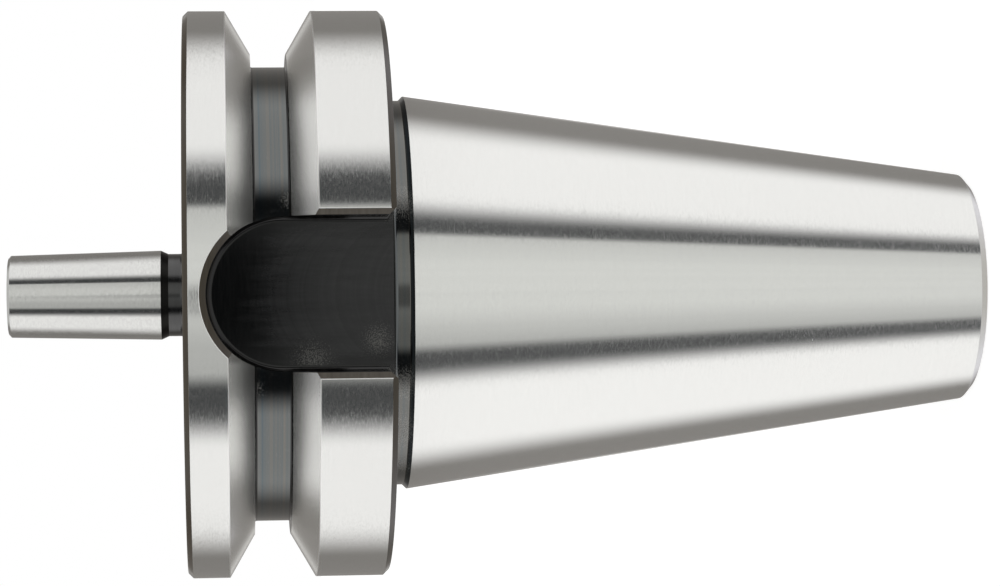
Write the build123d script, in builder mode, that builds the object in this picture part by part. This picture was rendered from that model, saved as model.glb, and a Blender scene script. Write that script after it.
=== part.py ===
from build123d import *
from math import hypot, isclose, radians, sqrt, tan
import os

# Drill chuck arbor with a No. 50 steep spindle taper, made from one bar of case-hardened steel.
# It is turned, milled and ground: nothing is fitted to it, so it is a single solid.
# The axis is vertical. The arbor stands on the small end of its spindle taper, chuck nose up.
# The origin lies on the axis in the gauge plane of the spindle taper, and the keyways face -Y and +Y.
# Lengths are millimetres, angles are degrees, and a taper is diameter lost per length.

# Spindle taper, from the gauge plane down to the small end
gauge_diameter = 69.85
spindle_taper = 7 / 24
small_end_depth = 101.8
small_end_chamfer = 1.3
large_end_depth = 0.55

# Neck between the spindle taper and the flange
rear_neck_diameter = 68.2
rear_neck_fillet = 0.8

# Flange
flange_diameter = 100
flange_thickness = 35
flange_setback = 3
flange_front_chamfer = 0.9
flange_rear_chamfer = 0.95

# V groove for the tool changer's fingers, with a square relief channel at its root
groove_setback = 23.2
groove_mouth = 15
groove_angle = 60
groove_relief_width = 6.3
groove_root_diameter = 80.2
groove_root_fillet = 0.4

# Two drive keyways, open at the flange's rear face and ending in a half circle under its front lip
keyway_width = 25.7
keyway_floor = 35.4
keyway_end = 34.25
keyway_corner_fillet = 0.95
keyway_entry_chamfer = 1.2
keyway_mouth_chamfer = 1.1

# Chuck nose: a neck, a short relief cone and a self-holding taper
front_neck_diameter = 14.54
front_neck_length = 3
front_neck_fillet = 1
nose_diameter = 15.733
nose_taper = 1 / 20.02
nose_relief_length = 1.3
nose_end = 69
nose_end_chamfer = 0.45

# Drawbar hole in the small end: pilot bore, then the core of an M24 x 3 thread
pilot_diameter = 25
pilot_depth = 13
pilot_chamfer = 1
thread_diameter = 24
thread_pitch = 3
drilled_depth = 62
drill_point_angle = 118

# Centre hole in the nose, left from turning and grinding between centres
centre_hole_diameter = 2.5
centre_hole_mouth = 5.3
centre_hole_depth = 5.5
centre_hole_angle = 60

# Heights and radii of the turned outline
small_end = -small_end_depth
small_end_radius = (gauge_diameter - spindle_taper * small_end_depth) / 2
large_end = -large_end_depth
large_end_radius = (gauge_diameter - spindle_taper * large_end_depth) / 2
rear_neck_radius = rear_neck_diameter / 2
bevel_top = large_end + large_end_radius - rear_neck_radius
flange_radius = flange_diameter / 2
flange_rear = flange_setback
flange_front = flange_rear + flange_thickness
front_neck_radius = front_neck_diameter / 2
front_neck_top = flange_front + front_neck_length
nose_radius = nose_diameter / 2
nose_start = front_neck_top + nose_relief_length
nose_end_radius = nose_radius - nose_taper * (nose_end - nose_start) / 2

# The V flanks stop where they are as far apart as the relief channel is wide
groove_root_radius = groove_root_diameter / 2
relief_half_width = groove_relief_width / 2
mouth_half_width = groove_mouth / 2
flank_depth = (mouth_half_width - relief_half_width) / tan(radians(groove_angle / 2))
flank_end_radius = flange_radius - flank_depth

# The keyways' cutter starts clear of the rear face, where the 45 degree flares of the walls run out
keyway_half_width = keyway_width / 2
keyway_arc_centre = keyway_end - keyway_half_width
keyway_wall_start = flange_rear + keyway_entry_chamfer
cutter_overrun = keyway_entry_chamfer + keyway_corner_fillet
cutter_start = flange_rear - cutter_overrun
cutter_half_width = keyway_half_width + keyway_entry_chamfer + cutter_overrun
keyway_depth = flange_radius - keyway_floor

# Radii and drill points of the holes. The pilot's chamfer leaves at least half of the small end's land.
pilot_radius = pilot_diameter / 2
small_end_land = small_end_radius - small_end_chamfer - pilot_radius
pilot_rim = min(pilot_chamfer, small_end_land / 2)
thread_core_radius = (thread_diameter - 5 / 8 * sqrt(3) * thread_pitch) / 2
thread_countersink = thread_diameter / 2 - thread_core_radius
centre_hole_radius = centre_hole_diameter / 2
point_slope = tan(radians(drill_point_angle / 2))


def circles_at(height):
    """Circular edges of the arbor in one horizontal plane, smallest first."""
    circles = arbor.edges().filter_by(GeomType.CIRCLE)
    return circles.filter_by_position(Axis.Z, height - 1e-4, height + 1e-4).sort_by(SortBy.RADIUS)


def on_flange_rim(edge):
    """Whether an edge runs in the flange's outer cylinder."""
    middle = edge @ 0.5
    return isclose(hypot(middle.X, middle.Y), flange_radius, abs_tol=1e-6)


# Metal that the end mill takes out for the keyway on the -Y side
with BuildPart() as keyway:
    with BuildSketch(Plane.XZ.offset(keyway_floor)):
        with BuildLine():
            walls = Polyline(
                (-keyway_half_width, keyway_arc_centre),
                (-keyway_half_width, keyway_wall_start),
                (-cutter_half_width, cutter_start),
                (cutter_half_width, cutter_start),
                (keyway_half_width, keyway_wall_start),
                (keyway_half_width, keyway_arc_centre),
            )
            ThreePointArc(walls @ 1, (0, keyway_end), walls @ 0)
        make_face()
    extrude(amount=2 * keyway_depth)
    floor_outline = keyway.faces().sort_by(Axis.Y)[-1].edges()
    fillet(floor_outline, radius=keyway_corner_fillet)

with BuildPart() as arbor:
    # Turned outline, as half of the section through the axis, with a radius at the foot of each neck
    with BuildSketch(Plane.XZ) as half_section:
        with BuildLine():
            Polyline(
                (0, small_end),
                (small_end_radius, small_end),
                (large_end_radius, large_end),
                (rear_neck_radius, bevel_top),
                (rear_neck_radius, flange_rear),
                (flange_radius, flange_rear),
                (flange_radius, flange_front),
                (front_neck_radius, flange_front),
                (front_neck_radius, front_neck_top),
                (nose_radius, nose_start),
                (nose_end_radius, nose_end),
                (0, nose_end),
                close=True,
            )
        make_face()
        rear_root = half_section.vertices().sort_by_distance((rear_neck_radius, flange_rear))[0]
        front_root = half_section.vertices().sort_by_distance((front_neck_radius, flange_front))[0]
        fillet(rear_root, radius=rear_neck_fillet)
        fillet(front_root, radius=front_neck_fillet)
    revolve(axis=Axis.Z)

    # Broken rims of both ends and of the flange
    chamfer(circles_at(small_end)[-1], length=small_end_chamfer)
    chamfer(circles_at(nose_end)[-1], length=nose_end_chamfer)
    chamfer(circles_at(flange_rear)[-1], length=flange_rear_chamfer)
    chamfer(circles_at(flange_front)[-1], length=flange_front_chamfer)

    # Gripper groove
    with BuildSketch(Plane.XZ) as groove_section:
        with BuildLine():
            Polyline(
                (groove_root_radius, groove_setback - relief_half_width),
                (flank_end_radius, groove_setback - relief_half_width),
                (flange_radius, groove_setback - mouth_half_width),
                (flange_radius, groove_setback + mouth_half_width),
                (flank_end_radius, groove_setback + relief_half_width),
                (groove_root_radius, groove_setback + relief_half_width),
                close=True,
            )
        make_face()
        fillet(groove_section.vertices().group_by(Axis.X)[0], radius=groove_root_fillet)
    revolve(axis=Axis.Z, mode=Mode.SUBTRACT)

    # Both keyways, with chamfered mouths: an arc in the front lip, two straight edges in the rear lip
    with PolarLocations(0, 2):
        add(keyway.part, mode=Mode.SUBTRACT)
    rim_edges = arbor.edges(Select.LAST).filter_by(on_flange_rim)
    mouth_arcs = rim_edges.filter_by(GeomType.BSPLINE)
    mouth_sides = rim_edges.filter_by(GeomType.LINE)
    chamfer(mouth_arcs + mouth_sides, length=keyway_mouth_chamfer)

    # Drawbar hole, bored up from the small end, with its drill point
    with Locations(Plane((0, 0, small_end), z_dir=(0, 0, -1))):
        CounterBoreHole(
            radius=thread_core_radius,
            counter_bore_radius=pilot_radius,
            counter_bore_depth=pilot_depth,
            depth=drilled_depth,
        )
    with Locations((0, 0, small_end + drilled_depth)):
        Cone(
            bottom_radius=thread_core_radius,
            top_radius=0,
            height=thread_core_radius / point_slope,
            align=(Align.CENTER, Align.CENTER, Align.MIN),
            mode=Mode.SUBTRACT,
        )
    chamfer(circles_at(small_end)[0], length=pilot_rim)
    chamfer(circles_at(small_end + pilot_depth)[0], length=thread_countersink)

    # Centre hole in the nose, with its drill point
    with Locations((0, 0, nose_end)):
        CounterSinkHole(
            radius=centre_hole_radius,
            counter_sink_radius=centre_hole_mouth / 2,
            depth=centre_hole_depth,
            counter_sink_angle=centre_hole_angle,
        )
    with Locations((0, 0, nose_end - centre_hole_depth)):
        Cone(
            bottom_radius=0,
            top_radius=centre_hole_radius,
            height=centre_hole_radius / point_slope,
            align=(Align.CENTER, Align.CENTER, Align.MAX),
            mode=Mode.SUBTRACT,
        )

arbor.part.label = "arbor"

os.makedirs("parts", exist_ok=True)
export_step(arbor.part, "parts/arbor.step")
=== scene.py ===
import math

import bpy
import numpy as np
from mathutils import Matrix


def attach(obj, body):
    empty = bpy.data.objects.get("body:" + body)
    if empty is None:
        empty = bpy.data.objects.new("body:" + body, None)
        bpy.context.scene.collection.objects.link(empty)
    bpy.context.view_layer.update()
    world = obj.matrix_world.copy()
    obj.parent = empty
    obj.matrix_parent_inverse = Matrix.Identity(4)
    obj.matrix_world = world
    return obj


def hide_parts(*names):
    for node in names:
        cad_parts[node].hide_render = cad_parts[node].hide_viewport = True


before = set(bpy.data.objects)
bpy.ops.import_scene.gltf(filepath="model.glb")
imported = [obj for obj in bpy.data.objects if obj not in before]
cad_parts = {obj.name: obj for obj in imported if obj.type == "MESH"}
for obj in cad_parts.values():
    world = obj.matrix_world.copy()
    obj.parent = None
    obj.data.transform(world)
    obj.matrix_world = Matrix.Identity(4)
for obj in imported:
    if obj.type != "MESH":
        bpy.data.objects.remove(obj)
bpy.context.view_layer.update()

# Finishes of the arbor. The bar is turned all over and blackened in a hot oxide bath. Both tapers,
# the flange rims and the V flanks are then ground, so they are bright steel with fine rings.
# Each finish is one material; its index is what the faces of the turned body carry. Three of them
# add painted light: shade in the corners, a highlight on the broken edges and light on the V
# flanks.


def new_group(name, inputs, outputs):
    """A shader node group with named inputs (name, kind, value) and named float outputs."""
    group = bpy.data.node_groups.new(name, "ShaderNodeTree")
    for socket, kind, value in inputs:
        made = group.interface.new_socket(socket, in_out="INPUT", socket_type=kind)
        if value is not None:
            made.default_value = value
    for socket in outputs:
        group.interface.new_socket(socket, in_out="OUTPUT", socket_type="NodeSocketFloat")
    return group, group.nodes.new("NodeGroupInput").outputs, group.nodes.new("NodeGroupOutput")


def place(tree, kind, links=None, **settings):
    """A node with its settings made and its inputs linked or set by name or number."""
    node = tree.nodes.new(kind)
    for key, value in settings.items():
        setattr(node, key, value)
    for socket, value in (links or {}).items():
        if isinstance(value, bpy.types.NodeSocket):
            tree.links.new(value, node.inputs[socket])
        else:
            node.inputs[socket].default_value = value
    return node


grain, grain_in, grain_out = new_group(
    "Machined grain",
    [
        ("Vector", "NodeSocketVector", None),
        ("Ring spacing", "NodeSocketFloat", 6000.0),
        ("Streak length", "NodeSocketFloat", 260.0),
        ("Speckle size", "NodeSocketFloat", 2600.0),
    ],
    ["Rings", "Bands", "Streaks", "Hairlines", "Speckle", "Grit"],
)
axes = place(grain, "ShaderNodeSeparateXYZ", {0: grain_in["Vector"]}).outputs


def reckon(tree, operation, *values):
    """The result of one sum."""
    return place(
        tree, "ShaderNodeMath", dict(enumerate(values)), operation=operation
    ).outputs[0]


ring_height = reckon(grain, "MULTIPLY", axes["Z"], grain_in["Ring spacing"])
streak_place = place(
    grain,
    "ShaderNodeCombineXYZ",
    {
        "X": reckon(grain, "MULTIPLY", axes["X"], grain_in["Streak length"]),
        "Y": reckon(grain, "MULTIPLY", axes["Y"], grain_in["Streak length"]),
        "Z": ring_height,
    },
).outputs[0]


def noise(tree, where, detail, roughness, scale=1.0, dimensions="3D"):
    """Noise from 0 to 1 over space or, in one dimension, along a line."""
    return place(
        tree,
        "ShaderNodeTexNoise",
        {
            "W" if dimensions == "1D" else "Vector": where,
            "Scale": scale,
            "Detail": detail,
            "Roughness": roughness,
        },
        noise_dimensions=dimensions,
    ).outputs[0]


def ranged(tree, value, start, end, low=0.0, high=1.0, shape="LINEAR"):
    """A level that goes from low to high as a value goes from start to end."""
    return place(
        tree,
        "ShaderNodeMapRange",
        {"Value": value, "From Min": start, "From Max": end, "To Min": low, "To Max": high},
        interpolation_type=shape,
    ).outputs[0]


def stretched(tree, vector, factors):
    """A vector multiplied axis by axis."""
    return place(
        tree, "ShaderNodeVectorMath", {0: vector, 1: factors}, operation="MULTIPLY"
    ).outputs[0]


wide_rings = noise(grain, ring_height, 3.0, 0.6, 0.2, "1D")
hair = noise(grain, stretched(grain, streak_place, (0.4, 0.4, 0.55)), 2.0, 0.7)
drawn_out = stretched(grain, grain_in["Vector"], (0.35, 0.35, 1.2))
speckle = noise(grain, drawn_out, 2.0, 0.5, grain_in["Speckle size"])


def feed(tree, node, values):
    """Links values to a node's inputs by name."""
    for socket, value in values.items():
        tree.links.new(value, node.inputs[socket])


feed(
    grain,
    grain_out,
    {
        "Rings": noise(grain, ring_height, 4.0, 0.65, 1.0, "1D"),
        "Bands": ranged(grain, wide_rings, 0.3, 0.7),
        "Streaks": noise(grain, streak_place, 3.0, 0.6),
        "Hairlines": ranged(grain, hair, 0.56, 0.72),
        "Speckle": speckle,
        "Grit": ranged(grain, speckle, 0.62, 0.78),
    },
)


def blend(tree, share, first, second):
    """A colour that goes from the first to the second as the share goes from 0 to 1."""
    ends = [end if isinstance(end, bpy.types.NodeSocket) else (*end, 1) for end in (first, second)]
    return place(
        tree, "ShaderNodeMix", {0: share, 6: ends[0], 7: ends[1]}, data_type="RGBA"
    ).outputs[2]


def ground_steel(name, tone, metal, cloud, roughness, grit, rings, streaks, speckle):
    """Bright ground steel: rings left by the wheel, hairlines and a fine speckle.

    Cloud is how much its bareness varies and grit how much its polish does. Rings, streaks and
    speckle are the spacing, the length and the size of the grain.
    """
    material = bpy.data.materials.new(name)
    material.use_nodes = True
    tree = material.node_tree
    shader = tree.nodes["Principled BSDF"]
    shader.inputs["Anisotropic"].default_value = 0.85
    shader.inputs["Anisotropic Rotation"].default_value = 0.25
    where = place(tree, "ShaderNodeTexCoord").outputs["Object"]
    marks = place(
        tree,
        "ShaderNodeGroup",
        {
            "Vector": where,
            "Ring spacing": rings,
            "Streak length": streaks,
            "Speckle size": speckle,
        },
        node_tree=grain,
    ).outputs
    colour = blend(
        tree,
        ranged(tree, marks["Streaks"], 0.3, 0.7),
        (tone * 0.99, tone * 0.99, tone * 0.97),
        (tone * 1.01, tone * 1.01, tone * 0.99),
    )
    smoothest = roughness * (1.0 - 0.6 * grit)
    roughest = roughness * (1.0 + 1.1 * grit)
    polish = ranged(tree, marks["Speckle"], 0.35, 0.75, smoothest, roughest)
    polish = reckon(tree, "MULTIPLY_ADD", marks["Hairlines"], roughness * grit * 0.5, polish)
    polish = reckon(tree, "MULTIPLY_ADD", marks["Grit"], roughness * grit * 0.6, polish)
    bump = {"Strength": 1.0, "Distance": 0.8e-7, "Height": marks["Rings"]}
    grinding = place(tree, "ShaderNodeTangent", direction_type="RADIAL", axis="Z")
    feed(
        tree,
        shader,
        {
            "Base Color": colour,
            "Metallic": ranged(tree, marks["Speckle"], 0.38, 0.62, metal + cloud, metal - cloud),
            "Roughness": polish,
            "Normal": place(tree, "ShaderNodeBump", bump).outputs[0],
            "Tangent": grinding.outputs[0],
        },
    )
    return material


def distance(tree, first, second):
    """How far apart two places are."""
    return place(
        tree, "ShaderNodeVectorMath", {0: first, 1: second}, operation="DISTANCE"
    ).outputs["Value"]


rubbed, rubbed_in, rubbed_out = new_group(
    "Rubbed patch",
    [
        ("Vector", "NodeSocketVector", None),
        ("Centre", "NodeSocketVector", None),
        ("Reach", "NodeSocketFloat", 0.004),
        ("Grain size", "NodeSocketFloat", 5800.0),
    ],
    ["Mask"],
)
from_centre = distance(rubbed, rubbed_in["Vector"], rubbed_in["Centre"])
close_by = ranged(rubbed, from_centre, 0.0, rubbed_in["Reach"], 1.0, 0.0, "SMOOTHSTEP")
dots = noise(rubbed, rubbed_in["Vector"], 1.0, 0.6, rubbed_in["Grain size"])
worn = ranged(rubbed, reckon(rubbed, "MULTIPLY_ADD", close_by, 0.2, dots), 0.62, 0.78)
feed(rubbed, rubbed_out, {"Mask": reckon(rubbed, "MULTIPLY", worn, close_by)})


def floor_streak_share(tree, where, axes):
    """How much a keyway's floor turns lighter grey, in streaks cut by the end mill's arcs."""
    mill_radius = 0.01285
    streak_start = 0.0139
    soft_streaks = noise(tree, stretched(tree, where, (750.0, 750.0, 110.0)), 4.0, 0.55)
    bulge = reckon(tree, "MULTIPLY_ADD", axes["X"], axes["X"], -(mill_radius**2))
    bulge = reckon(tree, "SQRT", reckon(tree, "ABSOLUTE", bulge))
    sweeps = noise(tree, reckon(tree, "SUBTRACT", axes["Z"], bulge), 4.0, 0.6, 700.0, "1D")
    reached = place(
        tree,
        "ShaderNodeCombineXYZ",
        {
            0: reckon(tree, "MULTIPLY", axes["X"], 0.88),
            2: reckon(tree, "MAXIMUM", axes["Z"], streak_start),
        },
    ).outputs[0]
    beyond = distance(tree, reached, (0.0, 0.0, streak_start))
    ragged = reckon(tree, "MULTIPLY_ADD", soft_streaks, -0.014, beyond)
    near_open_end = ranged(tree, ragged, 0.0, 0.0085, 1.0, 0.0, "SMOOTHSTEP")
    faded = ranged(tree, soft_streaks, 0.25, 0.75, 0.55, 1.0)
    cut = ranged(tree, sweeps, 0.3, 0.7, 0.75, 1.15)
    return reckon(tree, "MULTIPLY", reckon(tree, "MULTIPLY", near_open_end, faded), cut)


def black_oxide(
    name,
    gloss,
    roughness,
    dark,
    light,
    film=False,
    grit=0.0,
    patches=(),
    streaked=False,
    bare=(0.17, 0.167, 0.157),
):
    """Steel blackened in the oxide bath and oiled: a near black skin with a glassy gloss.

    A film is so thin that the steel under it mirrors through. Patches are places (centre, reach)
    where the skin is rubbed back to the bare grey. A streaked surface turns lighter grey in soft
    streaks along the axis.
    """
    material = bpy.data.materials.new(name)
    material.use_nodes = True
    tree = material.node_tree
    shader = tree.nodes["Principled BSDF"]
    shader.inputs["IOR"].default_value = gloss
    where = place(tree, "ShaderNodeTexCoord").outputs["Object"]
    marks = place(
        tree,
        "ShaderNodeGroup",
        {"Vector": where, "Ring spacing": 4500.0, "Speckle size": 4200.0},
        node_tree=grain,
    ).outputs
    worn_speck = (0.24, 0.235, 0.22)
    floor_streak_grey = (0.036, 0.036, 0.037)
    specks = reckon(tree, "MULTIPLY", marks["Grit"], grit)
    covered = reckon(tree, "SUBTRACT", 1.0, specks)
    colour = blend(tree, marks["Bands"], dark, light)
    colour = blend(tree, specks, colour, worn_speck)
    axes = place(tree, "ShaderNodeSeparateXYZ", {0: where}).outputs
    if streaked:
        colour = blend(tree, floor_streak_share(tree, where, axes), colour, floor_streak_grey)
    either_side = place(
        tree,
        "ShaderNodeCombineXYZ",
        {0: axes["X"], 1: reckon(tree, "ABSOLUTE", axes["Y"]), 2: axes["Z"]},
    ).outputs[0]
    for centre, reach in patches:
        mask = place(
            tree,
            "ShaderNodeGroup",
            {"Vector": either_side, "Centre": centre, "Reach": reach},
            node_tree=rubbed,
        ).outputs["Mask"]
        colour = blend(tree, mask, colour, bare)
        covered = reckon(tree, "MULTIPLY", covered, reckon(tree, "SUBTRACT", 1.0, mask))
    polish = ranged(tree, marks["Streaks"], 0.3, 0.7, roughness * 0.8, roughness * 1.3)
    bump = {"Strength": 1.0, "Distance": 2.0e-7, "Height": marks["Streaks"]}
    feed(
        tree,
        shader,
        {
            "Base Color": colour,
            "Roughness": polish,
            "Normal": place(tree, "ShaderNodeBump", bump).outputs[0],
        },
    )
    if film:
        feed(tree, shader, {"Metallic": covered})
    return material


(
    GROUND_TAPER,
    GROUND_RIM,
    BRIGHTENED_FLANK,
    HIGHLIGHTED_EDGE,
    GROUND_NOSE,
    BLACK_TURNED,
    BLACK_NECK,
    BLACK_MILLED,
    SHADED_CORNER,
    BLACK_EDGE,
) = range(10)
ground_finishes = [
    # name, tone, metal, cloud, roughness, grit, ring spacing, streak length, speckle size
    ("ground_taper", 0.735, 0.82, 0.006, 0.15, 0.4, 5200.0, 260.0, 4300.0),
    ("ground_rim", 0.66, 0.875, 0.006, 0.142, 0.43, 6500.0, 240.0, 3600.0),
    # Painted light: the V flanks' steel is paler and barer than the other ground steel, standing in
    # for the light that bounces between the flanks.
    ("flank_painted_bounce_light", 0.83, 0.955, 0.003, 0.235, 0.03, 6500.0, 240.0, 3400.0),
    # Painted highlight: the edge finish is paler and less bare than the rims, so broken edges shine
    # from every side; its higher roughness is the real deburred edge.
    ("edge_painted_highlight", 0.85, 0.72, 0.01, 0.34, 0.0, 6500.0, 240.0, 3400.0),
    ("ground_nose", 0.60, 0.87, 0.035, 0.13, 0.5, 6500.0, 300.0, 4600.0),
]
finishes = [ground_steel(*values) for values in ground_finishes]
finishes += [
    black_oxide(
        "black_turned",
        gloss=1.5,
        roughness=0.09,
        dark=(0.094, 0.114, 0.124),
        light=(0.146, 0.139, 0.127),
        film=True,
        grit=0.2,
        patches=[
            ((0.0150, 0.0306, 0.0015), 0.0062),
            ((-0.0150, 0.0306, 0.0015), 0.0058),
            ((-0.0235, 0.0247, 0.0015), 0.0070),
            ((-0.0300, 0.0162, 0.0015), 0.0060),
            ((0.0156, 0.0369, 0.0200), 0.0034),
            ((-0.0156, 0.0369, 0.0264), 0.0030),
        ],
        bare=(0.36, 0.35, 0.33),
    ),
    black_oxide(
        "black_neck",
        gloss=1.7,
        roughness=0.17,
        dark=(0.0012, 0.0012, 0.0014),
        light=(0.005, 0.005, 0.005),
    ),
    black_oxide(
        "black_milled",
        gloss=1.62,
        roughness=0.055,
        dark=(0.001, 0.001, 0.001),
        light=(0.003, 0.003, 0.003),
        patches=[
            ((-0.0112, 0.0354, 0.0166), 0.0058),
            ((-0.0078, 0.0354, 0.0058), 0.0046),
            ((0.0136, 0.0360, 0.0036), 0.0030),
            ((-0.0136, 0.0360, 0.0036), 0.0030),
        ],
        streaked=True,
    ),
    # Painted shade: the walls and small radii of the channel and the keyways are far darker than
    # the oxide beside them, so that they stay dark; the patches on them are real rubbed wear.
    black_oxide(
        "painted_shade_corner",
        gloss=1.42,
        roughness=0.15,
        dark=(0.002, 0.002, 0.002),
        light=(0.008, 0.0075, 0.007),
        patches=[((0.0136, 0.0365, 0.0036), 0.0030), ((-0.0136, 0.0365, 0.0036), 0.0030)],
    ),
    black_oxide(
        "black_edge",
        gloss=1.45,
        roughness=0.16,
        dark=(0.045, 0.033, 0.018),
        light=(0.07, 0.055, 0.035),
    ),
]

# Turned body, from the small end's face out and up to the nose's face: one outline turned round
# the axis. It is case-hardened steel. Every corner is broken or left by the wheel with a small
# radius of its own.
millimetre = 0.001
body_divisions = 360


def swung(arrow, angle):
    """An arrow in the outline's plane, turned by an angle."""
    return np.array(
        [
            arrow[0] * math.cos(angle) - arrow[1] * math.sin(angle),
            arrow[0] * math.sin(angle) + arrow[1] * math.cos(angle),
        ]
    )


def rounded(corners):
    """Points, outward normals and finishes of an outline whose corners are rounded off.

    A corner is (radius, height, corner radius, finish of the surface that follows), in millimetres.
    A fifth value is the finish of the rounded corner itself.
    """
    broken_edge = 0.35
    fine_steps = 8
    coarse_steps = 3
    spots = [np.array(corner[:2], float) for corner in corners]
    ways = [(end - start) / np.linalg.norm(end - start) for start, end in zip(spots, spots[1:])]
    points = [spots[0]]
    headings = [ways[0]]
    kinds = [corners[0][3]]
    for here, way_in, way_out, last, corner in zip(spots[1:], ways, ways[1:], corners, corners[1:]):
        cross = way_in[0] * way_out[1] - way_in[1] * way_out[0]
        turn = math.atan2(cross, way_in @ way_out)
        radius = corner[2]
        reach = radius * abs(math.tan(turn / 2))
        start = here - reach * way_in
        side = math.copysign(1.0, turn)
        middle = start + side * radius * np.array([-way_in[1], way_in[0]])
        steps = fine_steps if radius > broken_edge else coarse_steps
        for step in range(steps + 1):
            angle = turn * step / steps
            points.append(middle + swung(start - middle, angle))
            headings.append(swung(way_in, angle))
            nearer = last[3] if step * 2 <= steps - 1 else corner[3]
            kinds.append(corner[4] if len(corner) > 4 and step < steps else nearer)
    points.append(spots[-1])
    headings.append(ways[-1])
    kinds.append(kinds[-1])
    normals = [np.array([heading[1], -heading[0]]) for heading in headings]
    return points, normals, kinds


def outline_object(name, corners):
    """A chain of edges in the XZ plane, with each point's outward normal and finish."""
    points, normals, kinds = rounded(corners)
    mesh = bpy.data.meshes.new(name)
    mesh.from_pydata(
        [(p[0] * millimetre, 0.0, p[1] * millimetre) for p in points],
        [(i, i + 1) for i in range(len(points) - 1)],
        [],
    )
    facing = mesh.attributes.new("facing", "FLOAT_VECTOR", "POINT")
    facing.data.foreach_set("vector", [c for n in normals for c in (n[0], 0.0, n[1])])
    finish = mesh.attributes.new("finish", "INT", "POINT")
    finish.data.foreach_set("value", kinds)
    shape = bpy.data.objects.new(name, mesh)
    bpy.context.scene.collection.objects.link(shape)
    return shape


def stored(tree, geometry, name, value, data_type, domain):
    """A geometry that carries a value as a named attribute."""
    return place(
        tree,
        "GeometryNodeStoreNamedAttribute",
        {"Geometry": geometry, "Name": name, "Value": value},
        data_type=data_type,
        domain=domain,
    ).outputs[0]


def hand_over(tree, geometry, material, group_out):
    """Ends a tree: its instances are made real and take the material."""
    realised = place(tree, "GeometryNodeRealizeInstances", {0: geometry})
    coated = place(
        tree, "GeometryNodeSetMaterial", {0: realised.outputs[0], "Material": material}
    )
    tree.links.new(coated.outputs[0], group_out.inputs[0])


turning = bpy.data.node_groups.new("Turn round the axis", "GeometryNodeTree")
turning.interface.new_socket("Outline", in_out="INPUT", socket_type="NodeSocketGeometry")
turning.interface.new_socket("Divisions", in_out="INPUT", socket_type="NodeSocketInt")
turning.interface.new_socket("Material", in_out="INPUT", socket_type="NodeSocketMaterial")
turning.interface.new_socket("Body", in_out="OUTPUT", socket_type="NodeSocketGeometry")
chain = turning.nodes.new("NodeGroupInput").outputs
body_out = turning.nodes.new("NodeGroupOutput")
count = place(turning, "GeometryNodeAttributeDomainSize", {0: chain["Outline"]}, component="MESH")
columns = reckon(turning, "ADD", chain["Divisions"], 1.0)
sheet = place(
    turning,
    "GeometryNodeMeshGrid",
    {"Vertices X": count.outputs["Point Count"], "Vertices Y": columns},
)
index = place(turning, "GeometryNodeInputIndex").outputs[0]
row = reckon(turning, "FLOOR", reckon(turning, "DIVIDE", index, columns))
column = reckon(turning, "MODULO", index, columns)
share = reckon(turning, "DIVIDE", column, chain["Divisions"])
angle = reckon(turning, "MULTIPLY", share, math.tau)
strip = reckon(turning, "FLOOR", reckon(turning, "DIVIDE", index, chain["Divisions"]))


def carried_by_outline(name, data_type):
    """A named value that the outline's points carry."""
    return place(turning, "GeometryNodeInputNamedAttribute", {"Name": name}, data_type=data_type)


def read_outline(source, at, data_type):
    """A value of the outline's points, read at a number along it."""
    return place(
        turning,
        "GeometryNodeSampleIndex",
        {0: chain["Outline"], 1: source.outputs[0], "Index": at},
        data_type=data_type,
        domain="POINT",
    ).outputs[0]


def swept(vector):
    """A vector of the outline, turned round the axis to its column."""
    return place(
        turning,
        "ShaderNodeVectorRotate",
        {"Vector": vector, "Axis": (0, 0, 1), "Angle": angle},
    ).outputs[0]


spot_at = read_outline(place(turning, "GeometryNodeInputPosition"), row, "FLOAT_VECTOR")
facing_at = read_outline(carried_by_outline("facing", "FLOAT_VECTOR"), row, "FLOAT_VECTOR")
finish_at = read_outline(carried_by_outline("finish", "INT"), strip, "INT")
placed = place(
    turning,
    "GeometryNodeSetPosition",
    {"Geometry": sheet.outputs["Mesh"], "Position": swept(spot_at)},
)
faced = stored(turning, placed.outputs[0], "facing", swept(facing_at), "FLOAT_VECTOR", "POINT")
finished = stored(turning, faced, "finish", finish_at, "INT", "FACE")
closed = place(turning, "GeometryNodeMergeByDistance", {0: finished, "Distance": 1e-7})
hand_over(turning, closed.outputs[0], chain["Material"], body_out)


def made_by(shape, tree, values):
    """The plain mesh that a node tree makes from an object, with its named inputs set."""
    sockets = {item.name: item.identifier for item in tree.interface.items_tree}
    work = shape.modifiers.new(tree.name, "NODES")
    work.node_group = tree
    for name, value in values.items():
        work[sockets[name]] = value
    scene_state = bpy.context.evaluated_depsgraph_get()
    mesh = bpy.data.meshes.new_from_object(
        shape.evaluated_get(scene_state), preserve_all_data_layers=True, depsgraph=scene_state
    )
    shape.modifiers.remove(work)
    return mesh


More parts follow.
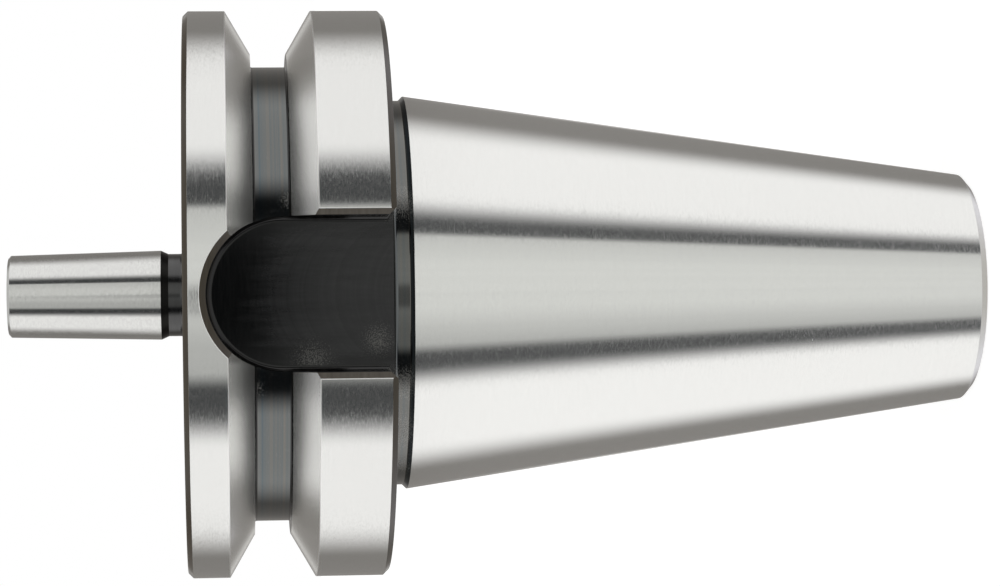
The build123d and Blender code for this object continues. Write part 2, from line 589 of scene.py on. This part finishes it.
def outward(mesh):
    """Turns a closed mesh's faces outwards and keeps its normals where booleans carry them."""
    mesh.calc_loop_triangles()
    spots = np.zeros(len(mesh.vertices) * 3)
    mesh.vertices.foreach_get("co", spots)
    spots = spots.reshape(-1, 3)
    corners = np.zeros(len(mesh.loop_triangles) * 3, int)
    mesh.loop_triangles.foreach_get("vertices", corners)
    a, b, c = (spots[corners.reshape(-1, 3)[:, k]] for k in range(3))
    volume = np.einsum("ij,ij->i", a, np.cross(b, c)).sum()
    if volume < 0:
        mesh.flip_normals()
    if "facing" in mesh.attributes:
        values = np.zeros(len(mesh.vertices) * 3)
        mesh.attributes["facing"].data.foreach_get("vector", values)
        at_vertex = np.zeros(len(mesh.loops), int)
        mesh.loops.foreach_get("vertex_index", at_vertex)
        at_corner = values.reshape(-1, 3)[at_vertex]
        mesh.attributes.remove(mesh.attributes["facing"])
    else:
        values = np.zeros(len(mesh.polygons) * 3)
        mesh.polygons.foreach_get("normal", values)
        around_face = np.zeros(len(mesh.polygons), int)
        mesh.polygons.foreach_get("loop_total", around_face)
        at_corner = np.repeat(values.reshape(-1, 3), around_face, axis=0)
    carried = mesh.attributes.new("facing", "FLOAT_VECTOR", "CORNER")
    carried.data.foreach_set("vector", at_corner.ravel())
    return mesh


body_outline = outline_object(
    "arbor_body",
    [
        (0, -101.8, 0, BLACK_TURNED),
        (18.779, -101.8, 0.15, GROUND_TAPER),
        (20.267, -100.514, 0.3, GROUND_TAPER),
        (34.845, -0.55, 0.12, BLACK_TURNED),
        (34.1, 0.195, 0.2, BLACK_TURNED),
        (34.1, 3.0, 0.8, BLACK_TURNED),
        (49.05, 3.0, 0.15, BLACK_EDGE),
        (50.0, 3.95, 0.15, GROUND_RIM),
        # The rounded edges between the rims and the flanks carry the painted highlight finish.
        (50.0, 15.7, 0.2, BRIGHTENED_FLANK, HIGHLIGHTED_EDGE),
        # The channel's walls and its corner radii carry the painted shade finish.
        (42.466, 20.05, 0.1, SHADED_CORNER),
        (40.1, 20.05, 0.4, BLACK_TURNED, SHADED_CORNER),
        (40.1, 26.35, 0.4, SHADED_CORNER, SHADED_CORNER),
        (42.466, 26.35, 0.1, BRIGHTENED_FLANK),
        (50.0, 30.7, 0.2, GROUND_RIM, HIGHLIGHTED_EDGE),
        (50.0, 37.1, 0.15, BLACK_EDGE),
        (49.1, 38.0, 0.15, BLACK_TURNED),
        (7.27, 38.0, 1.0, BLACK_NECK),
        (7.27, 41.0, 0.15, BLACK_NECK),
        (7.8665, 42.3, 0.1, GROUND_NOSE),
        (7.211, 68.55, 0.12, GROUND_NOSE),
        (6.75, 69.0, 0.12, GROUND_NOSE),
        (0, 69.0, 0, GROUND_NOSE),
    ],
)
body_mesh = outward(
    made_by(
        body_outline,
        turning,
        {"Divisions": body_divisions, "Material": finishes[BLACK_TURNED]},
    )
)
arbor = bpy.data.objects.new("arbor_turned", body_mesh)
bpy.context.scene.collection.objects.link(arbor)
bpy.data.objects.remove(body_outline)

# Keyways: two slots for the spindle's drive keys, milled across the rear lip and the V groove with
# one end mill and left black. Their entries flare at 45 degrees and their mouths are chamfered by
# a hand tool.
half_width = 12.85
floor_height = 35.4
rear_face = 3.0
arc_centre = 21.4
floor_radius = 0.95
flare = 1.2
mouth_chamfer = 1.1
rim_radius = 50.0
clear_of_rim = 53.0
arc_steps = 40
fillet_steps = 6


def loft(name, rings, facings, strips):
    """A closed cutter from rings of points, each ring running from one end of a U to the other.

    Strips are the finishes that the cutter leaves between one ring and the next.
    """
    count = len(rings[0])
    spots = [p for ring in rings for p in ring]
    faces = []
    kinds = []
    for level, finish in enumerate(strips):
        low, high = level * count, (level + 1) * count
        for i in range(count):
            j = (i + 1) % count
            faces.append((low + i, low + j, high + j, high + i))
            kinds.append(finish)
    top = (len(rings) - 1) * count
    for i in range(count // 2 - 1):
        faces.append((i, count - 1 - i, count - 2 - i, i + 1))
        faces.append((top + i, top + i + 1, top + count - 2 - i, top + count - 1 - i))
        kinds += [BLACK_MILLED] * 2
    mesh = bpy.data.meshes.new(name)
    mesh.from_pydata([tuple(c * millimetre for c in p) for p in spots], [], faces)
    facing = mesh.attributes.new("facing", "FLOAT_VECTOR", "POINT")
    facing.data.foreach_set("vector", [c for ring in facings for n in ring for c in n])
    kind = mesh.attributes.new("finish", "INT", "FACE")
    kind.data.foreach_set("value", kinds)
    mesh.materials.append(finishes[strips[0]])
    mesh.validate()
    shape = bpy.data.objects.new(name, outward(mesh))
    bpy.context.scene.collection.objects.link(shape)
    return shape


def keyway_stations(flared):
    """The keyway's outline as (x, z, outward x, outward z), from one rear end to the other."""
    if flared:
        overrun = 1.1
        just_below = 0.3
        just_above = 0.2
        slant = 1.0 / math.sqrt(2)
        half = [
            (half_width + flare + overrun, rear_face - overrun, slant, slant),
            (half_width + flare + just_below, rear_face - just_below, slant, slant),
            (half_width + flare, rear_face, slant, slant),
            (half_width + flare - just_above, rear_face + just_above, slant, slant),
            (half_width, rear_face + flare, 1.0, math.tan(math.radians(22.5))),
            (half_width, arc_centre, 1.0, 0.0),
        ]
    else:
        half = [(half_width, rear_face - 1.0, 1.0, 0.0), (half_width, arc_centre, 1.0, 0.0)]
    for step in range(1, arc_steps):
        turn = math.pi / 2 * step / arc_steps
        across, up = math.cos(turn), math.sin(turn)
        half.append((half_width * across, arc_centre + half_width * up, across, up))
    apex = half_width * math.sin(math.pi / 4 / arc_steps)
    half.append((apex, arc_centre + half_width, apex / half_width, 1.0))
    return half + [(-x, z, -a, b) for x, z, a, b in reversed(half)]


def keyway_cutters(side):
    """The slot's cutter and its mouth chamfer's, on the -Y side or, for side -1, the +Y side."""

    def to_space(x, height, z):
        return (x * side, -height * side, z)

    dip = 0.45
    dip_from = rear_face + 0.15
    inset_from = rear_face + 0.3
    stations = keyway_stations(True)
    rings = []
    facings = []
    for step in range(fillet_steps + 1):
        turn = math.pi / 2 * step / fillet_steps
        inset = floor_radius * (1 - math.sin(turn))
        lift = floor_radius * (1 - math.cos(turn))
        level = math.cos(turn)
        ring = []
        facing = []
        for x, z, a, b in stations:
            spread = math.hypot(a, b)
            height = floor_height + lift - max(0.0, min(dip, dip_from - z))
            ring.append(to_space(x - inset * a, height, z - inset * b if z > inset_from else z))
            facing.append(
                to_space(-a / spread * math.sin(turn), level, -b / spread * math.sin(turn))
            )
        rings.append(ring)
        facings.append(facing)
    rings.append([to_space(x, clear_of_rim, z) for x, z, a, b in stations])
    facings.append(
        [to_space(-a / math.hypot(a, b), 0, -b / math.hypot(a, b)) for x, z, a, b in stations]
    )
    # The slot's walls and floor radii carry the painted shade finish.
    slot = loft("keyway_slot", rings, facings, [SHADED_CORNER] * (fillet_steps + 1))

    # The mouth's sharp edge is broken on the chamfer's last edge_break and the rim's first
    # edge_width. The cutter goes on under the chamfer, and beyond the edge past the metal.
    edge_break = 0.09
    edge_width = 0.07
    under_chamfer = 0.5
    stretch = 8.0
    levels = [[], [], [], []]
    facings = [[], [], [], []]
    for x, z, a, b in keyway_stations(False):
        rim = math.sqrt(rim_radius**2 - x**2)
        slope = x * a / rim
        reach = mouth_chamfer / math.sqrt(1 + slope**2)
        inner = np.array([0.0, rim - mouth_chamfer])
        outer = np.array([reach, math.sqrt(rim_radius**2 - (x + reach * a) ** 2)])
        along = (outer - inner) / np.linalg.norm(outer - inner)
        across = np.array([-along[1], along[0]])
        edge = outer - edge_break * along
        past = reach + edge_width
        meet = np.array([past, math.sqrt(rim_radius**2 - (x + past * a) ** 2)])
        far = edge + stretch * (meet - edge)
        flat = np.array([across[0] * a, across[1], across[0] * b])
        ground = np.array([x + past * a, meet[1], 0.0])
        ground = ground / np.linalg.norm(ground)
        beyond = flat + (ground - flat) * stretch
        ends = (inner - under_chamfer * along, edge, far, np.array([far[0], clear_of_rim]))
        for level, (out, height) in enumerate(ends):
            levels[level].append(to_space(x + out * a, height, z + out * b))
        for level, n in enumerate((flat, flat, beyond, beyond)):
            facings[level].append(to_space(*n))
    # The broken edge of the mouth carries the painted highlight finish.
    chamfer = loft("keyway_mouth", levels, facings, [BLACK_EDGE, HIGHLIGHTED_EDGE, HIGHLIGHTED_EDGE])
    return [slot, chamfer]


cutters = keyway_cutters(1) + keyway_cutters(-1)

# Drawbar hole in the small end: pilot bore, core hole and its drill point, for the pull stud. The
# centre hole in the nose is what the arbor was turned and ground on. Both are cut by the tree that
# turned the body.
drawbar_outline = outline_object(
    "drawbar_hole",
    [
        (0, -102.4, 0, BLACK_TURNED),
        (14.1, -102.4, 0, BLACK_TURNED),
        (12.5, -100.8, 0.15, BLACK_TURNED),
        (12.5, -88.8, 0.3, BLACK_TURNED),
        (12.0, -88.8, 0.05, BLACK_TURNED),
        (10.376, -87.176, 0.1, BLACK_TURNED),
        (10.376, -39.8, 0.2, BLACK_TURNED),
        (0, -33.565, 0, BLACK_TURNED),
    ],
)
centre_outline = outline_object(
    "centre_hole",
    [
        (0, 62.749, 0, GROUND_NOSE),
        (1.25, 63.5, 0.05, GROUND_NOSE),
        (1.25, 66.575, 0.05, GROUND_NOSE),
        (2.823, 69.3, 0, GROUND_NOSE),
        (0, 69.3, 0, GROUND_NOSE),
    ],
)
for outline, divisions in ((drawbar_outline, 96), (centre_outline, 48)):
    mesh = outward(
        made_by(outline, turning, {"Divisions": divisions, "Material": finishes[BLACK_TURNED]})
    )
    drill = bpy.data.objects.new(outline.name + "_drill", mesh)
    bpy.context.scene.collection.objects.link(drill)
    cutters.append(drill)
    bpy.data.objects.remove(outline)

# Drawbar thread: a right-hand M24 x 3 thread, tapped into the core hole from the pilot bore. The
# tap's 60 degree tooth follows a helix and leaves a flat an eighth of the pitch wide at its root.
tapping = bpy.data.node_groups.new("Tap a thread", "GeometryNodeTree")
for name in ("Pitch", "Length", "Start", "Path radius", "Major radius"):
    tapping.interface.new_socket(name, in_out="INPUT", socket_type="NodeSocketFloat")
tapping.interface.new_socket("Divisions", in_out="INPUT", socket_type="NodeSocketInt")
tapping.interface.new_socket("Finish", in_out="INPUT", socket_type="NodeSocketInt")
tapping.interface.new_socket("Material", in_out="INPUT", socket_type="NodeSocketMaterial")
tapping.interface.new_socket("Tap", in_out="OUTPUT", socket_type="NodeSocketGeometry")
thread = tapping.nodes.new("NodeGroupInput").outputs
tap_out = tapping.nodes.new("NodeGroupOutput")
helix = place(
    tapping,
    "GeometryNodeCurveSpiral",
    {
        "Resolution": thread["Divisions"],
        "Rotations": reckon(tapping, "DIVIDE", thread["Length"], thread["Pitch"]),
        "Start Radius": thread["Path radius"],
        "End Radius": thread["Path radius"],
        "Height": thread["Length"],
        "Reverse": True,
    },
)
upright = place(tapping, "GeometryNodeSetCurveNormal", {0: helix.outputs[0]}, mode="Z_UP")
half_root = reckon(tapping, "DIVIDE", thread["Pitch"], 16.0)
tooth = reckon(tapping, "SUBTRACT", thread["Major radius"], thread["Path radius"])
half_mouth = reckon(tapping, "MULTIPLY_ADD", tooth, math.tan(math.radians(30)), half_root)
tooth_corners = (
    (0.0, reckon(tapping, "MULTIPLY", half_mouth, -1.0)),
    (tooth, reckon(tapping, "MULTIPLY", half_root, -1.0)),
    (tooth, half_root),
    (0.0, half_mouth),
)
section = place(
    tapping,
    "GeometryNodeCurvePrimitiveQuadrilateral",
    {
        f"Point {number}": place(tapping, "ShaderNodeCombineXYZ", {0: x, 1: y}).outputs[0]
        for number, (x, y) in enumerate(tooth_corners, 1)
    },
    mode="POINTS",
)
ribbed = place(
    tapping,
    "GeometryNodeCurveToMesh",
    {"Curve": upright.outputs[0], "Profile Curve": section.outputs[0], "Fill Caps": True},
)
start = place(tapping, "ShaderNodeCombineXYZ", {2: thread["Start"]})
lifted = place(
    tapping,
    "GeometryNodeTransform",
    {"Geometry": ribbed.outputs[0], "Translation": start.outputs[0]},
)
marked = stored(tapping, lifted.outputs[0], "finish", thread["Finish"], "INT", "FACE")
hand_over(tapping, marked, thread["Material"], tap_out)
tap = bpy.data.objects.new("drawbar_tap", bpy.data.meshes.new("drawbar_tap"))
bpy.context.scene.collection.objects.link(tap)
tap_sizes = {
    "Pitch": 0.003,
    "Length": 0.0454,
    "Start": -0.0904,
    "Path radius": 0.010,
    "Major radius": 0.012,
    "Divisions": 96,
    "Finish": BLACK_TURNED,
    "Material": finishes[BLACK_TURNED],
}
tap.data = outward(made_by(tap, tapping, tap_sizes))
cutters.append(tap)

# Cutting: the slots, holes and thread are taken out of the turned body in that order. Every face
# keeps its finish, and every corner the way that its surface faces, so that small radii shade
# smoothly and flats stay flat.
for cutter in cutters:
    cut = arbor.modifiers.new(cutter.name, "BOOLEAN")
    cut.operation = "DIFFERENCE"
    cut.solver = "EXACT"
    cut.object = cutter
scene_state = bpy.context.evaluated_depsgraph_get()
arbor_mesh = bpy.data.meshes.new_from_object(
    arbor.evaluated_get(scene_state), preserve_all_data_layers=True, depsgraph=scene_state
)
arbor.modifiers.clear()
arbor.data = arbor_mesh
for cutter in cutters:
    bpy.data.objects.remove(cutter)

arbor_mesh.materials.clear()
for finish in finishes:
    arbor_mesh.materials.append(finish)
kinds = np.zeros(len(arbor_mesh.polygons), int)
arbor_mesh.attributes["finish"].data.foreach_get("value", kinds)
arbor_mesh.polygons.foreach_set("material_index", kinds)
face_normals = np.zeros(len(arbor_mesh.polygons) * 3)
arbor_mesh.polygons.foreach_get("normal", face_normals)
corners_each = np.zeros(len(arbor_mesh.polygons), int)
arbor_mesh.polygons.foreach_get("loop_total", corners_each)
corner_faces = np.repeat(face_normals.reshape(-1, 3), corners_each, axis=0)
facing = np.zeros(len(arbor_mesh.loops) * 3)
arbor_mesh.attributes["facing"].data.foreach_get("vector", facing)
facing = facing.reshape(-1, 3)
side = np.sign(np.einsum("ij,ij->i", facing, corner_faces))
facing = facing * np.where(side == 0, 1, side)[:, None]
facing = facing / np.maximum(np.linalg.norm(facing, axis=1), 1e-9)[:, None]
arbor_mesh.polygons.foreach_set("use_smooth", [True] * len(arbor_mesh.polygons))
arbor_mesh.normals_split_custom_set(facing.tolist())
arbor_mesh.attributes.remove(arbor_mesh.attributes["facing"])
arbor_mesh.attributes.remove(arbor_mesh.attributes["finish"])
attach(arbor, "root")
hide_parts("arbor")

# Floor: a wide pale sheet under the small end. It is white to the camera and still takes the soft
# shadow of the arbor; the steel mirrors the light boxes and not the sheet.
floor_level = -0.1018
floor_reach = 4
floor_corners = [(-1, -1), (1, -1), (1, 1), (-1, 1)]
floor_mesh = bpy.data.meshes.new("studio_floor")
floor_mesh.from_pydata(
    [(x * floor_reach, y * floor_reach, floor_level) for x, y in floor_corners],
    [],
    [(0, 1, 2, 3)],
)
floor = bpy.data.objects.new("studio_floor", floor_mesh)
bpy.context.scene.collection.objects.link(floor)
paper = bpy.data.materials.new("white_paper")
paper.use_nodes = True
tree = paper.node_tree
tree.nodes.clear()
matt = place(tree, "ShaderNodeBsdfDiffuse", {"Color": (0.5, 0.5, 0.5, 1)})
glow = place(tree, "ShaderNodeEmission", {"Color": (1, 1, 1, 1), "Strength": 0.75})
both = place(tree, "ShaderNodeAddShader", {0: matt.outputs[0], 1: glow.outputs[0]})
path = place(tree, "ShaderNodeLightPath")
seen = place(
    tree,
    "ShaderNodeMixShader",
    {0: path.outputs["Is Camera Ray"], 1: matt.outputs[0], 2: both.outputs[0]},
)
place(tree, "ShaderNodeOutputMaterial", {"Surface": seen.outputs[0]})
floor_mesh.materials.append(paper)
floor.visible_glossy = False

# Light: a broad diffuser in front, a tall soft box on each side, a dim grey wall behind with two
# sheets of white paper on it, a pale table and a ceiling. Two black flags between the diffuser and
# the boxes give the steel its dark bands. Azimuths and climbs are degrees from the front.
world = bpy.data.worlds.new("studio_light")
bpy.context.scene.world = world
world.use_nodes = True
tree = world.node_tree
tree.nodes.clear()
towards = place(
    tree,
    "ShaderNodeSeparateXYZ",
    {0: place(tree, "ShaderNodeTexCoord").outputs["Generated"]},
).outputs
backwards = reckon(tree, "MULTIPLY", towards["Y"], -1.0)
azimuth = reckon(tree, "DEGREES", reckon(tree, "ARCTAN2", towards["X"], backwards))
around = reckon(tree, "ABSOLUTE", azimuth)
climb = reckon(tree, "DEGREES", reckon(tree, "ARCSINE", towards["Z"]))
steepness = reckon(tree, "ABSOLUTE", climb)


def between(value, start, end, low, high):
    """A level that goes smoothly from low to high as a value goes from start to end."""
    return ranged(tree, value, start, end, low, high, "SMOOTHSTEP")


def lit(colour, *levels):
    """A light's colour times its levels."""
    product = levels[0]
    for level in levels[1:]:
        product = reckon(tree, "MULTIPLY", product, level)
    return place(
        tree, "ShaderNodeVectorMath", {0: colour, "Scale": product}, operation="SCALE"
    ).outputs[0]


def shifted(value, *shifts):
    """A value with shifts added."""
    for shift in shifts:
        value = reckon(tree, "ADD", value, shift)
    return value


def far_from(centre_azimuth, centre_climb):
    """Degrees between a direction and a point in front of the arbor."""
    across = reckon(tree, "SUBTRACT", azimuth, centre_azimuth)
    up = reckon(tree, "SUBTRACT", climb, centre_climb)
    offset = place(tree, "ShaderNodeCombineXYZ", {0: across, 1: up})
    return place(
        tree, "ShaderNodeVectorMath", {0: offset.outputs[0]}, operation="LENGTH"
    ).outputs["Value"]


folds = noise(tree, azimuth, 3.0, 0.5, 0.4, "1D")
sideways = reckon(tree, "SUBTRACT", azimuth, between(climb, -25.0, 0.0, 0.0, 10.0))
diffuser = lit(
    (0.915, 0.922, 0.888),
    between(azimuth, 33.3, 36.6, 1.0, 0.0),
    between(azimuth, 12.0, 33.0, 1.0, 0.85),
    between(azimuth, -37.8, -30.0, 0.0, 1.0),
    between(folds, 0.3, 0.7, 0.955, 1.035),
    between(sideways, -34.0, -6.0, 0.66, 1.0),
    between(far_from(-2.0, -2.5), 4.5, 9.0, 0.4, 1.0),
    between(far_from(0.0, 0.2), 0.8, 2.4, 0.02, 1.0),
)
front_edge = shifted(
    around,
    between(azimuth, -20.0, 20.0, -1.5, 0.0),
    between(climb, -45.0, -28.0, -12.0, 0.0),
    between(climb, -25.0, -4.0, 5.2, 0.0),
    between(climb, 1.5, 4.5, 0.0, 4.0),
    between(climb, 15.0, 35.0, 0.0, -12.0),
)
back_edge = shifted(
    around,
    between(azimuth, -20.0, 20.0, 0.0, -0.4),
    between(climb, -15.0, -4.0, 4.0, 0.0),
    between(climb, 1.5, 4.5, 0.0, 15.0),
)
side_boxes = lit(
    (1.245, 1.235, 1.225),
    between(front_edge, 46.5, 62.5, 0.0, 1.0),
    between(back_edge, 105.0, 133.0, 1.0, 0.0),
    between(azimuth, -20.0, 20.0, 1.05, 1.01),
)
back_wall = lit(
    (0.27, 0.252, 0.232),
    between(back_edge, 105.0, 133.0, 0.0, 1.0),
    between(azimuth, -20.0, 20.0, 0.86, 0.85),
)
wall_sheets = lit(
    (0.58, 0.58, 0.57),
    between(towards["Y"], 0.93, 0.985, 0.0, 1.0),
    between(steepness, 4.5, 10.0, 0.0, 1.0),
)
flags = (0.027, 0.03, 0.033)
room = diffuser
for light in (side_boxes, back_wall, wall_sheets, flags):
    room = place(tree, "ShaderNodeVectorMath", {0: room, 1: light}, operation="ADD").outputs[0]
near_table = between(towards["Z"], -0.96, -0.7, 0.0, 1.0)
table = blend(tree, near_table, (0.62, 0.6, 0.56), (0.95, 0.94, 0.98))
low = shifted(towards["Z"], between(around, 80.0, 110.0, 0.0, -0.12))
room = blend(tree, between(low, -0.75, -0.5, 1.0, 0.0), room, table)
room = blend(tree, between(towards["Z"], 0.6, 0.8, 0.0, 1.0), room, (0.75, 0.75, 0.74))
path = place(tree, "ShaderNodeLightPath")
shown = blend(tree, path.outputs["Is Camera Ray"], room, (1, 1, 1))
background = place(tree, "ShaderNodeBackground", {"Color": shown, "Strength": 1.0})
place(tree, "ShaderNodeOutputWorld", {"Surface": background.outputs[0]})

# Camera: level with the flange, half a metre in front of the keyway and rolled onto its side, so
# that the standing arbor lies across the picture with its nose to the left.
lens = bpy.data.cameras.new("photo_camera")
lens.lens = 112.12
lens.sensor_width = 36.0
lens.clip_start = 0.01
lens.clip_end = 20.0
camera = bpy.data.objects.new("photo_camera", lens)
bpy.context.scene.collection.objects.link(camera)
camera.matrix_world = Matrix(
    (
        (-0.01102, 0.99994, 0.00088, 0.0002213),
        (-0.08733, -0.00009, -0.99618, -0.5540535),
        (-0.99612, -0.01106, 0.08733, 0.0307736),
        (0, 0, 0, 1),
    )
)
bpy.context.scene.camera = camera
bpy.context.scene.view_settings.view_transform = "Standard"
